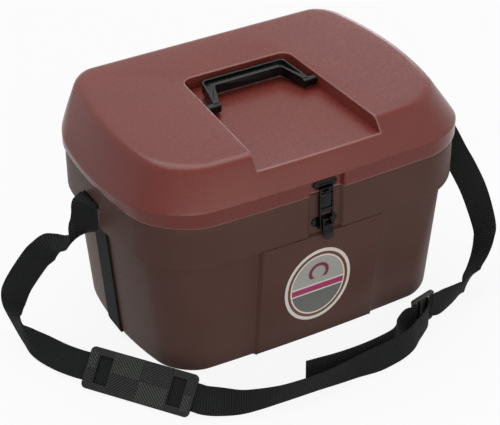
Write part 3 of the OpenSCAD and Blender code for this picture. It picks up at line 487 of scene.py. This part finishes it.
def outline(inset, panel, panel_half, pocket, pocket_half, pocket_y, slope):
    a, b = HALF_LONG - inset, HALF_DEEP - inset
    pinch = 1 - END_BOW / a
    front_r, back_r = (rim + (top - rim) * slope + SLOPE_RUN * slope - inset
                       for rim, top in ((RIM_FRONT, TOP_FRONT), (RIM_BACK, TOP_BACK)))

    def bowed(x, y):
        return (x * (1 - END_BOW / a * (y / b) ** 2), y * (1 - FRONT_BOW / b * (x / a) ** 2) if y < 0 else y)

    def quarter(x, y, r, start):
        return [bowed(x + r * cos(radians(start + 6 * i)), y + r * sin(radians(start + 6 * i))) for i in range(1, 15)]

    ring = []
    for side, r, other in ((-1, front_r, back_r), (1, back_r, front_r)):
        end = (a - r) * pinch
        half = [0, 9] + [pocket_half + d for d in (-.4, .4, 1.2, 2, 2.8)] + [34, 50]
        half += [panel_half + d for d in (-.6, .1, .9, 1.7, 2.4, 3)]
        half += [panel_half + 3 + (end - panel_half - 3) * s for s in (.33, .67, 1)]
        for x in [-x for x in half[:0:-1]] + half:
            y = bowed(x / pinch, side * b)[1] + side * panel * (1 - soft_step((abs(x) - panel_half + .6) / 3.6))
            if side < 0:
                y += (pocket_y - y) * pocket * (1 - soft_step((abs(x) - pocket_half + .4) / 3.2))
            ring.append((-side * x, y))
        turn = 90 + side * 90
        ring += quarter(-side * (a - r), side * (b - r), r, turn - 90)
        first, last = side * (b - r), -side * (b - other)
        ring += [bowed(-side * a, first + (last - first) * i / 14) for i in range(15)]
        ring += quarter(-side * (a - other), -side * (b - other), other, turn)
    return ring


def end_share(y):
    """How much a point of the ends takes of a ring's sink: none at front and back."""
    return max(0, 1 - (y / HALF_DEEP) ** 2) ** 2


def ease_corners(profile, steps=5):
    """Rounds the corners of a profile: each entry is (values, radius)."""
    eased = []
    for i, (values, radius) in enumerate(profile):
        here = Vector(values)
        if not radius or i in (0, len(profile) - 1):
            eased.append(here)
            continue
        arms = []
        for other in (profile[i - 1][0], profile[i + 1][0]):
            way = Vector(other) - here
            span = hypot(way[0], way[1])
            arms.append(here + way * min(radius / span, .5))
        for s in range(steps + 1):
            t = s / steps
            eased.append(arms[0] * (1 - t) ** 2 + here * 2 * t * (1 - t) + arms[1] * t * t)
    return eased


def loft(profile):
    """Extrudes one ring through a profile of inset, height, panel and pocket, slope share and sink."""
    bm = bmesh.new()
    ring = rim = None
    for inset, z, *shape, slope, sink in ease_corners(profile):
        points = outline(inset, *shape, slope)
        if ring is None:
            ring = bmesh.ops.create_circle(bm, cap_ends=False, segments=len(points), radius=1)["verts"]
            ring.sort(key=lambda v: atan2(v.co.y, v.co.x))
        else:
            made = bmesh.ops.extrude_edge_only(bm, edges=rim)["geom"]
            fresh = {g for g in made if isinstance(g, bmesh.types.BMVert)}
            ring = [next(e.other_vert(v) for e in v.link_edges if e.other_vert(v) in fresh) for v in ring]
        for v, (x, y) in zip(ring, points):
            v.co = (x, y, z - sink * end_share(y))
        rim = [bm.edges.get((ring[j - 1], ring[j])) for j in range(len(ring))]
    bmesh.ops.holes_fill(bm, edges=[e for e in bm.edges if e.is_boundary], sides=0)
    bmesh.ops.recalc_face_normals(bm, faces=bm.faces)
    return bm


# %% [markdown]
# ## Cutting with another shape
# Slots, foot channels and the handle recess are cut out with the Boolean modifier, whose exact
# solver keeps large flat faces whole. The cutters are thrown away once the result is taken.

# %% Boolean cut
def cut_out(bm, cutters):
    def hold(name, shape):
        mesh = bpy.data.meshes.new(name)
        shape.to_mesh(mesh)
        shape.free()
        made = bpy.data.objects.new(name, mesh)
        scene.collection.objects.link(made)
        return made

    block = hold("block", bm)
    tools = [hold("tool", c) for c in cutters]
    for tool in tools:
        step = block.modifiers.new("cut", "BOOLEAN")
        step.operation, step.solver, step.object = "DIFFERENCE", "EXACT", tool
    bpy.context.view_layer.update()
    result = bpy.data.meshes.new_from_object(block.evaluated_get(bpy.context.evaluated_depsgraph_get()))
    after = bmesh.new()
    after.from_mesh(result)
    for made in [block] + tools:
        mesh = made.data
        bpy.data.objects.remove(made)
        bpy.data.meshes.remove(mesh)
    bpy.data.meshes.remove(result)
    bmesh.ops.remove_doubles(after, verts=after.verts, dist=0.01)
    return after


def slab(low, high):
    bm = bmesh.new()
    bmesh.ops.create_cube(bm, size=1)
    size, middle = Vector(high) - Vector(low), (Vector(high) + Vector(low)) / 2
    bmesh.ops.scale(bm, vec=size, verts=bm.verts)
    bmesh.ops.translate(bm, vec=middle, verts=bm.verts)
    return bm


# %% [markdown]
# ## The tub
# The tub is one moulding: a leaning wall with a raised panel, a collar that hangs from the rim
# with its latch pocket, and a tongue that the lid drops over. Its profile runs from the ground
# up the wall, round the collar, over the rim and down the inside to the floor.

# %% Tub
no_pocket, pocket, pocket_inner = (0, POCKET_HALF, POCKET_Y), (1, POCKET_HALF, POCKET_Y), (1, 20.7, -137.4)
flat, raised, inside = (0, PANEL_HALF), (7, PANEL_HALF), (7, 68.2)
low_raised, low_inside = (4, PANEL_HALF), (4, 68.2)
upright = (0, 0)
tub_steps = [
    (34, 0, low_raised, no_pocket, 0), (21.5, 0, low_raised, no_pocket, 6), (10.5, 144.8, raised, no_pocket, .5),
    (10.5, 146.3, flat, no_pocket, 0), (10.5, 193, flat, no_pocket, 2), (4.4, 193, flat, pocket_inner, 2),
    (4.4, 147, flat, pocket_inner, .7), (2.2, 147, flat, pocket, .9), (2.2, 190, flat, pocket, 0),
    (2.2, 196, flat, pocket, 3), (10.5, 196, flat, no_pocket, .6), (10.5, 201.5, flat, no_pocket, .8),
    (13, 201.5, flat, no_pocket, .8), (13.3, 196, flat, no_pocket, 0), (13.3, 148.6, flat, no_pocket, 3),
    (13.3, 142, inside, no_pocket, 3), (lean(7) + 2.8, 7, low_inside, no_pocket, 6),
    (lean(7) + 16, 7, low_inside, no_pocket, 0)]
tub_profile = [((inset, z) + panel + press + upright, soft) for inset, z, panel, press, soft in tub_steps]
bm = loft(tub_profile)
bm = cut_out(bm, [slab((-210, -22, -5), (210, 14, 4)), slab((-71, -160, -5), (71, 160, 4)),
                  slab((190, -22, 169), (210, 14, 176)), slab((-210, -22, 169), (-190, 14, 176))])
tub = set_piece("tub_moulding", bm, tub_plastic, "box", ["tub"])

# %% [markdown]
# ## The lid
# The lid has an upright skirt, a wide slope and a flat top with a recess for the handle that
# opens through the slope at the front. The outer skin is lofted, the recess is cut and its edge
# rounded, and the Solidify modifier then gives the skin its wall inwards.

# %% Lid
RECESS_FLOOR, RECESS_BACK, RECESS_CORNER = 236.8, 46.0, 11.0


def recess_tool():
    bm = bmesh.new()
    plan = [(-73, -145.5), (73, -145.5), (64.5, RECESS_BACK), (-64.5, RECESS_BACK)]
    bm.faces.new([bm.verts.new((x, y, RECESS_FLOOR)) for x, y in plan])
    bm.verts.ensure_lookup_table()
    bmesh.ops.bevel(bm, geom=[v for v in bm.verts if v.co.y > 0], offset=RECESS_CORNER, offset_type="OFFSET",
                    affect="VERTICES", segments=10, profile=0.5, material=-1)
    bmesh.ops.solidify(bm, geom=bm.faces[:], thickness=-30)
    bmesh.ops.recalc_face_normals(bm, faces=bm.faces)
    return bm


sunk, up_slope, even = (0, 11), (1, 0), (0, 52)
lid_profile = [
    ((3.2, 196.9) + even + pocket + upright, 0), ((0, 196.9) + even + pocket + upright, 2.4),
    ((0, 212.4) + even + pocket + sunk, .8), ((0, 214) + even + no_pocket + sunk, .5),
    ((0, 215.3) + even + no_pocket + sunk, 16), ((SLOPE_RUN, 251.3) + even + no_pocket + up_slope, 7.4),
    ((40, 251.3) + even + no_pocket + up_slope, 0)]
bm = loft(lid_profile)
bm = cut_out(bm, [recess_tool()])
RIM_SOFT = 1.5
near_recess = [v for v in bm.verts if abs(v.co.x) < 76 and v.co.z > 235]
bmesh.ops.remove_doubles(bm, verts=near_recess, dist=0.35)
rim = [e for e in sharp_edges(bm, 25) if e.is_convex and all(abs(v.co.x) < 76 and v.co.z > 235 for v in e.verts)]
rim_count = len(rim)
# Painted highlight: the rounded recess rim is painted pale in full, the skirt's bottom edge strongly at the front and
# faintly elsewhere.
painted_highlight = bm.verts.layers.float.new("painted_highlight")
made = bmesh.ops.bevel(bm, geom=rim, offset=RIM_SOFT, offset_type="OFFSET", affect="EDGES", segments=4, profile=0.5,
                       material=-1, clamp_overlap=False)
rounded = set(made["faces"])
for v in made["verts"]:
    v[painted_highlight] = 1 if rounded.issuperset(v.link_faces) else 0
for v in bm.verts:
    if 197.2 < v.co.z < 198.6:
        v[painted_highlight] = .8 if v.co.y < -100 else .15
print("rounded edges of the recess:", rim_count)
bottom = [f for f in bm.faces if f.normal.z < -.9 and f.calc_center_median().z < 197 and f.calc_area() > 1e4]
bmesh.ops.delete(bm, geom=bottom, context="FACES_ONLY")
lid = set_piece("lid_moulding", bm, lid_plastic, "lid", ["lid"])
wall = lid.modifiers.new("wall", "SOLIDIFY")
wall.thickness, wall.offset = 3 * MM, -1

# %% [markdown]
# ## Handle
# The handle is an H-section moulding: thin rims round a sunk channel that runs out to a point in
# each arm. Its CAD solid already has that form, so it stays, and modifiers join its loose
# triangles and round its edges, which then catch the light as thin bright lines.

# %% Handle
def soften(node, width_mm, material):
    node.data.materials.clear()
    node.data.materials.append(material)
    join = node.modifiers.new("join", "WELD")
    join.merge_threshold = 1e-5
    ease = node.modifiers.new("ease", "BEVEL")
    ease.width, ease.segments, ease.limit_method, ease.angle_limit = width_mm * MM, 2, "ANGLE", radians(40)


soften(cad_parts["handle"], 0.4, handle_plastic)
print("handle edges rounded")

# %% [markdown]
# ## Black steel
# Latch and hinges are stamped sheet steel under black lacquer. A stamped edge is never sharp, so
# these CAD pieces keep their shape too and get a finer bevel.

# %% Lacquered steel on the CAD pieces
black_steel = moulded_black("black_lacquered_steel", "#040505", "#080a0a", 0.18, 3.0, 0.0001, 0.18)
steel_nodes = [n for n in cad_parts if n.startswith(("latch", "lever", "bail", "keeper", "hinge"))]
for name in steel_nodes:
    if name != "latch_lever":
        soften(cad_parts[name], 0.2, black_steel)
print("steel pieces:", len(steel_nodes))

# %% [markdown]
# ## Lever and bail web
# The lever ends in a thumb tab with round corners. A copy of its CAD mesh is joined, the two
# corner edges of the tab get a wide bevel, and the copy takes the node's place. The bail is a
# stamping with a sunk web between its legs; a small plate with a raised bead stands for it.

# %% Lever with a round tab
def tab_corner(e):
    low = all(v.co.z < TAB_LOW and abs(v.co.x) > TAB_SIDE for v in e.verts)
    return low and abs(e.verts[0].co.x - e.verts[1].co.x) < .01 and .8 < e.calc_length() < 2


bm = bmesh.new()
bm.from_mesh(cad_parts["latch_lever"].data)
bmesh.ops.scale(bm, vec=(1000, 1000, 1000), verts=bm.verts)
bmesh.ops.remove_doubles(bm, verts=bm.verts, dist=0.005)
bmesh.ops.dissolve_limit(bm, angle_limit=radians(1), verts=bm.verts, edges=bm.edges)
TAB_LOW, TAB_SIDE = min(v.co.z for v in bm.verts) + 2, 5.5
corners = [e for e in bm.edges if tab_corner(e)]
print("tab corners:", len(corners), "low", round(TAB_LOW, 2))
round_edges(bm, corners, 4.4, 6)
set_piece("latch_lever_tab", bm, black_steel, "latch_lever", ["latch_lever"])

# %% Web of the bail
WEB_SIDE, WEB_LOW, WEB_HIGH, WEB_FRONT, WEB_BACK = 6.7, 177.5, 194.5, -143.4, -142.4
BEAD_IN, BEAD_OUT = 2.4, 1.0
bm = slab((-WEB_SIDE, WEB_FRONT, WEB_LOW), (WEB_SIDE, WEB_BACK, WEB_HIGH))
front = [f for f in bm.faces if f.normal.y < -.9]
bmesh.ops.inset_region(bm, faces=front, thickness=BEAD_IN)
bmesh.ops.translate(bm, vec=(0, -BEAD_OUT, 0), verts=front[0].verts)
round_edges(bm, sharp_edges(bm, 15), 0.3, 2)
bmesh.ops.recalc_face_normals(bm, faces=bm.faces)
set_piece("bail_web", bm, black_steel, "latch_bail")

# %% [markdown]
# ## Label
# A printed film label sits on the raised panel. It is a thin oval that follows the panel's bow.
# The print is a pattern, so it is drawn in the material: rings by the distance from the middle,
# bands by the height, and a plain horseshoe cut from a ring.

# %% Printed film
LABEL_WIDE, LABEL_HIGH, LABEL_Z, LABEL_X = 40.0, 48.0, 77.0, -3.0
label_film, tree = new_material("printed_vinyl_film")
place = add_node(tree, "ShaderNodeTexCoord")
oval = add_node(tree, "ShaderNodeMapping", {
    "Vector": place.outputs["Object"], "Location": (-LABEL_X / LABEL_WIDE, 0, -LABEL_Z / LABEL_HIGH),
    "Scale": (1000 / LABEL_WIDE, 0, 1000 / LABEL_HIGH)})
reach = add_node(tree, "ShaderNodeVectorMath", {0: oval.outputs[0]}, operation="LENGTH")
height = add_node(tree, "ShaderNodeSeparateXYZ", {0: oval.outputs[0]})
level_share = add_node(tree, "ShaderNodeMapRange", {0: height.outputs[2], 1: -1.0, 2: 1.0})


def stepped_ramp(tree, value, stops):
    ramp = add_node(tree, "ShaderNodeValToRGB", {0: value})
    ramp.color_ramp.interpolation = "CONSTANT"
    for i, (at, code) in enumerate(stops):
        stop = ramp.color_ramp.elements[i] if i < 2 else ramp.color_ramp.elements.new(at)
        stop.position, stop.color = at, linear(code)
    return ramp.outputs[0]


bands = stepped_ramp(tree, level_share.outputs[0], [
    (0, "#6a6c6a"), (.40, "#f1efea"), (.42, "#b3326e"), (.5, "#f1efea"), (.52, "#b9bab7")])
rings = stepped_ramp(tree, reach.outputs["Value"], [(0, "#f4f2ee"), (.83, "#6d3a1c"), (.91, "#f4f2ee")])
edge = add_node(tree, "ShaderNodeMath", {0: reach.outputs["Value"], 1: 0.79}, operation="GREATER_THAN")
print_field = add_node(tree, "ShaderNodeMix", {"Factor": edge.outputs[0], "A": bands, "B": rings}, data_type="RGBA")
SHOE_Z, SHOE_R = 94.0, 12.0
shoe = add_node(tree, "ShaderNodeMapping", {
    "Vector": place.outputs["Object"], "Location": (-LABEL_X / SHOE_R, 0, -SHOE_Z / SHOE_R),
    "Scale": (1000 / SHOE_R, 0, 1000 / SHOE_R)})
shoe_reach = add_node(tree, "ShaderNodeVectorMath", {0: shoe.outputs[0]}, operation="LENGTH")
shoe_height = add_node(tree, "ShaderNodeSeparateXYZ", {0: shoe.outputs[0]})
iron = add_node(tree, "ShaderNodeMath", {0: shoe_reach.outputs["Value"], 1: 0.85, 2: 0.17}, operation="COMPARE")
open_end = add_node(tree, "ShaderNodeMath", {0: shoe_height.outputs[2], 1: -0.62}, operation="GREATER_THAN")
shape = add_node(tree, "ShaderNodeMath", {0: iron.outputs[0], 1: open_end.outputs[0]}, operation="MULTIPLY")
print_all = add_node(tree, "ShaderNodeMix", {
    "Factor": shape.outputs[0], "A": print_field.outputs["Result"], "B": linear("#7d2b4c")}, data_type="RGBA")
close_material(tree, add_node(tree, "ShaderNodeBsdfPrincipled", {
    "Base Color": print_all.outputs["Result"], "Roughness": 0.34, "IOR": 1.5}))

# %% Label
FILM, LIFT = 0.15, 0.12


def panel_face(x, z):
    """Front face of the raised panel, from the same outline as the tub's wall."""
    inset = lean(z)
    a, b = HALF_LONG - inset, HALF_DEEP - inset
    return FRONT_BOW * (x / (a - END_BOW)) ** 2 - b - (4 + 3 * z / PANEL_HIGH)


bm = bmesh.new()
bmesh.ops.create_circle(bm, cap_ends=True, segments=72, radius=1)
for _ in range(3):
    middle = [f for f in bm.faces if len(f.verts) > 4]
    bmesh.ops.inset_region(bm, faces=middle, thickness=0.24)
for v in bm.verts:
    x, z = LABEL_X + v.co.x * LABEL_WIDE, LABEL_Z + v.co.y * LABEL_HIGH
    v.co = (x, panel_face(x, z) - LIFT - FILM, z)
bmesh.ops.recalc_face_normals(bm, faces=bm.faces)
if bm.faces[:][0].normal.y > 0:
    bmesh.ops.reverse_faces(bm, faces=bm.faces)
bmesh.ops.solidify(bm, geom=bm.faces[:], thickness=FILM)
bmesh.ops.recalc_face_normals(bm, faces=bm.faces)
set_piece("panel_label", bm, label_film, "box")

# %% [markdown]
# ## Studio
# A pale floor and soft lamps. The floor adds its own white for the camera, so that the background
# is white while the lamps stay at a plain level, and it keeps the soft shadow.

# %% Floor, world and lamps
def seen_rays(tree):
    """One for rays that look at a thing, straight or in a mirror, and zero for rays that light it."""
    path = add_node(tree, "ShaderNodeLightPath")
    seen = path.outputs["Is Camera Ray"]
    for kind in ("Is Glossy Ray", "Is Transmission Ray"):
        seen = add_node(tree, "ShaderNodeMath", {0: seen, 1: path.outputs[kind]}, operation="MAXIMUM").outputs[0]
    return seen


ground, tree = new_material("studio_floor")
glow = add_node(tree, "ShaderNodeEmission", {"Color": linear("#ffffff"), "Strength": seen_rays(tree)})
paper = add_node(tree, "ShaderNodeBsdfDiffuse", {"Color": linear("#e8e8e8")})
blend = add_node(tree, "ShaderNodeMixShader", {0: 0.9, 1: paper.outputs[0], 2: glow.outputs[0]})
close_material(tree, blend)
bm = bmesh.new()
bmesh.ops.create_grid(bm, x_segments=1, y_segments=1, size=6)
mesh = bpy.data.meshes.new("studio_floor")
bm.to_mesh(mesh)
bm.free()
mesh.materials.append(ground)
floor = bpy.data.objects.new("studio_floor", mesh)
scene.collection.objects.link(floor)

world = bpy.data.worlds.new("studio")
world.use_nodes = True
world.node_tree.nodes.clear()
level_of = add_node(world.node_tree, "ShaderNodeMapRange", {0: seen_rays(world.node_tree), 3: 0.28, 4: 1.0})
sky = add_node(world.node_tree, "ShaderNodeBackground", {0: linear("#ffffff"), 1: level_of.outputs[0]})
add_node(world.node_tree, "ShaderNodeOutputWorld", {0: sky.outputs[0]})
scene.world = world


def soft_lamp(name, at, aim_at, wide, high, power, colour):
    data = bpy.data.lights.new(name, "AREA")
    data.shape, data.size, data.size_y, data.energy = "RECTANGLE", wide, high, power
    data.color = linear(colour)[:3]
    made = bpy.data.objects.new(name, data)
    scene.collection.objects.link(made)
    made.location = at
    made.rotation_euler = (Vector(aim_at) - Vector(at)).to_track_quat("-Z", "Y").to_euler()


soft_lamp("top_softbox", (0.1, 0.5, 1.7), (0, 0, 0.15), 1.6, 1.2, 18, "#ffffff")
soft_lamp("left_softbox", (-1.1, -1.6, 0.9), (0, 0, 0.14), 1.5, 1.3, 9, "#ffffff")
soft_lamp("right_softbox", (1.3, -1.2, 1.0), (0.1, 0, 0.15), 1.1, 1.3, 1.5, "#ffffff")
soft_lamp("front_softbox", (-0.05, -2.0, 0.9), (0, 0, 0.16), 2.2, 1.2, 13, "#fff4e6")
soft_lamp("back_softbox", (1.5, 1.7, 0.5), (0, 0, 0.24), 0.6, 0.4, 4, "#f4f7ff")
